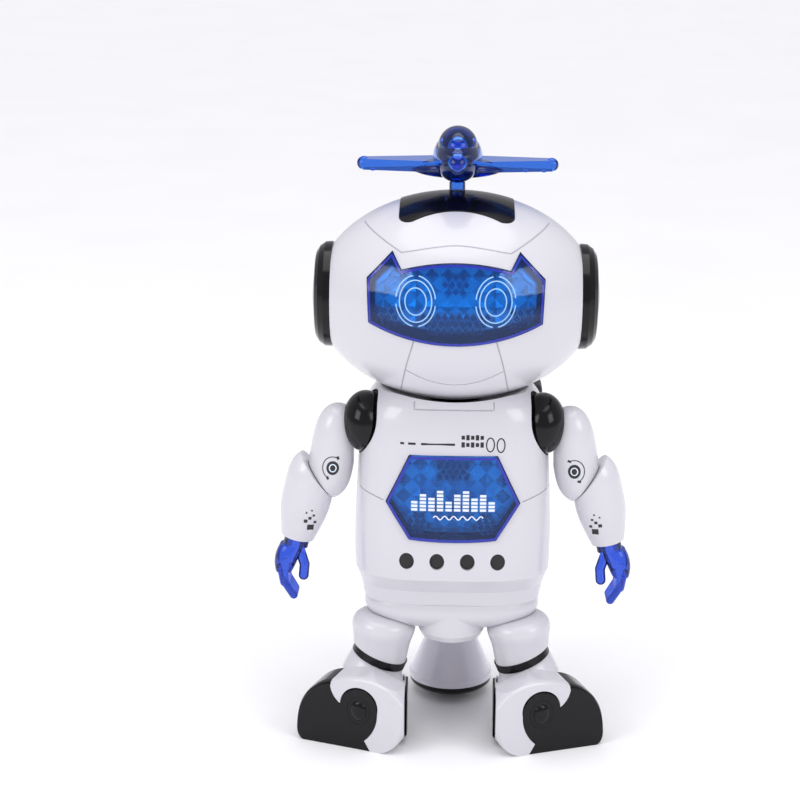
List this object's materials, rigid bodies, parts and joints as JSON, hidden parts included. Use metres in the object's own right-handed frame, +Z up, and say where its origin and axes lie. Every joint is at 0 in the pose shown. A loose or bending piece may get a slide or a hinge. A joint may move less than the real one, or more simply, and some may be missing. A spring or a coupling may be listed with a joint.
{
  "type": "toy robot",
  "caption": "Standing toy robot with a round head, visor, chest window, swinging arms, side-facing feet, a rear drive cone and a spinning toy plane on the head.",
  "frame": {"origin": "middle of the footprint on the floor", "axes": "+Z up, the robot faces -Y, +X is its own left-hand side"},
  "size_m": [0.1334, 0.0856, 0.2291],
  "materials": {
    "white_plastic": "glossy",
    "pearl_plastic": "satin pearl",
    "black_plastic": "glossy",
    "clear_blue": "clear tinted plastic",
    "silvered_blue": "faceted, vacuum silvered",
    "led_clear": "clear lens",
    "board_green": "solder mask",
    "steel": "zinc plated",
    "nylon": "moulded nylon",
    "grey_plastic": "satin",
    "cell_wrap": "printed sleeve",
    "spring_steel": "nickel plated",
    "rubber": "matt"
  },
  "bodies": {
    "torso": {"torso_front_shell": "white_plastic", "torso_rear_shell": "white_plastic", "chest_lens": "clear_blue", "chest_ports": "black_plastic", "chest_reflector": "silvered_blue", "main_board": "board_green", "chest_leds": "led_clear", "speaker": "grey_plastic", "neck_post": "black_plastic", "torso_screws": "steel", "gearbox_frame": "grey_plastic", "arm_motor": "steel", "battery_tray": "black_plastic", "battery_cells": "cell_wrap", "battery_contacts": "spring_steel", "backpack": "black_plastic", "pelvis": "white_plastic", "thigh_left": "white_plastic", "thigh_right": "white_plastic", "knee_rings": "black_plastic", "shin_left": "white_plastic", "shin_right": "white_plastic", "shoe_left": "black_plastic", "shoe_right": "black_plastic", "ankle_caps": "black_plastic", "swivel_pin": "steel"},
    "head": {"head_front_shell": "white_plastic", "head_rear_shell": "white_plastic", "visor_lens": "clear_blue", "visor_reflector": "silvered_blue", "head_led_board": "board_green", "head_leds": "led_clear", "top_panel": "black_plastic", "ear_pod_left": "black_plastic", "ear_pod_right": "black_plastic", "head_screws": "steel", "plane_post": "clear_blue"},
    "plane": {"plane_body": "clear_blue", "plane_belly": "clear_blue"},
    "arm_motor_rotor": {"arm_motor_pinion": "nylon"},
    "arm_cluster": {"arm_cluster_gear": "nylon"},
    "arm_idler": {"arm_idler_gear": "nylon"},
    "arm_left": {"shoulder_shaft_left": "nylon", "shoulder_cap_left": "black_plastic", "upper_arm_left": "white_plastic"},
    "arm_right": {"shoulder_shaft_right": "nylon", "shoulder_cap_right": "black_plastic", "upper_arm_right": "white_plastic"},
    "lower_arm_left": {"forearm_left": "white_plastic"},
    "lower_arm_right": {"forearm_right": "white_plastic"},
    "palm_left": {"hand_left": "clear_blue"},
    "palm_right": {"hand_right": "clear_blue"},
    "cone": {"drive_cone": "pearl_plastic", "cone_base_ring": "black_plastic", "wheel_axle": "steel"},
    "wheel": {"drive_wheel": "nylon", "drive_tyre": "rubber"},
    "door": {"battery_door": "black_plastic", "battery_door_screw": "steel"},
    "switch": {"power_switch": "black_plastic"}
  },
  "joints": [
    {"name": "head_turn", "type": "hinge", "parent": "torso", "child": "head", "pos_m": [0, 0, 0.13], "axis": [0, 0, 1], "range_deg": [-30, 30]},
    {"name": "plane_spin", "type": "hinge", "parent": "head", "child": "plane", "pos_m": [0, 0, 0.212], "axis": [0, 0, 1], "continuous": true},
    {"name": "arm_left_swing", "type": "hinge", "parent": "torso", "child": "arm_left", "pos_m": [0.036, -0.01, 0.121], "axis": [1, 0, 0], "range_deg": [-40, 40]},
    {"name": "arm_right_swing", "type": "hinge", "parent": "torso", "child": "arm_right", "pos_m": [-0.036, -0.01, 0.121], "axis": [1, 0, 0], "range_deg": [-40, 40]},
    {"name": "arm_cluster_turn", "type": "hinge", "parent": "torso", "child": "arm_cluster", "pos_m": [0, -0.01, 0.1112], "axis": [1, 0, 0], "range_deg": [-40, 40]},
    {"name": "arm_idler_turn", "type": "hinge", "parent": "torso", "child": "arm_idler", "pos_m": [-0.015, -0.00151, 0.1161], "axis": [1, 0, 0], "range_deg": [-40, 40]},
    {"name": "arm_motor_turn", "type": "hinge", "parent": "torso", "child": "arm_motor_rotor", "pos_m": [0, -0.01, 0.0979], "axis": [1, 0, 0], "range_deg": [-112, 112]},
    {"name": "elbow_left", "type": "hinge", "parent": "arm_left", "child": "lower_arm_left", "pos_m": [0.0496, -0.009, 0.099], "axis": [0.8192, 0, -0.5736], "range_deg": [-90, 30]},
    {"name": "elbow_right", "type": "hinge", "parent": "arm_right", "child": "lower_arm_right", "pos_m": [-0.0496, -0.009, 0.099], "axis": [-0.8192, 0, -0.5736], "range_deg": [-30, 90]},
    {"name": "wrist_left", "type": "hinge", "parent": "lower_arm_left", "child": "palm_left", "pos_m": [0.058, -0.009, 0.0756], "axis": [0.2249, 0, -0.9744], "range_deg": [-90, 90]},
    {"name": "wrist_right", "type": "hinge", "parent": "lower_arm_right", "child": "palm_right", "pos_m": [-0.058, -0.009, 0.0756], "axis": [-0.2249, 0, -0.9744], "range_deg": [-90, 90]},
    {"name": "cone_swivel", "type": "hinge", "parent": "torso", "child": "cone", "pos_m": [0, 0.025, 0.03], "axis": [0, 0, 1], "continuous": true},
    {"name": "wheel_spin", "type": "hinge", "parent": "cone", "child": "wheel", "pos_m": [0, 0.025, 0.0085], "axis": [1, 0, 0], "continuous": true},
    {"name": "battery_door_lift", "type": "slide", "parent": "torso", "child": "door", "axis": [0, 1, 0], "range_m": [0, 0.03]},
    {"name": "power_slide", "type": "slide", "parent": "torso", "child": "switch", "axis": [1, 0, 0], "range_m": [0, 0.004]}
  ],
  "couplings": [
    {"joint": "arm_right_swing", "follows": "arm_left_swing", "ratio": -1},
    {"joint": "arm_cluster_turn", "follows": "arm_left_swing", "ratio": -1},
    {"joint": "arm_idler_turn", "follows": "arm_left_swing", "ratio": 1},
    {"joint": "arm_motor_turn", "follows": "arm_left_swing", "ratio": 2.8}
  ]
}
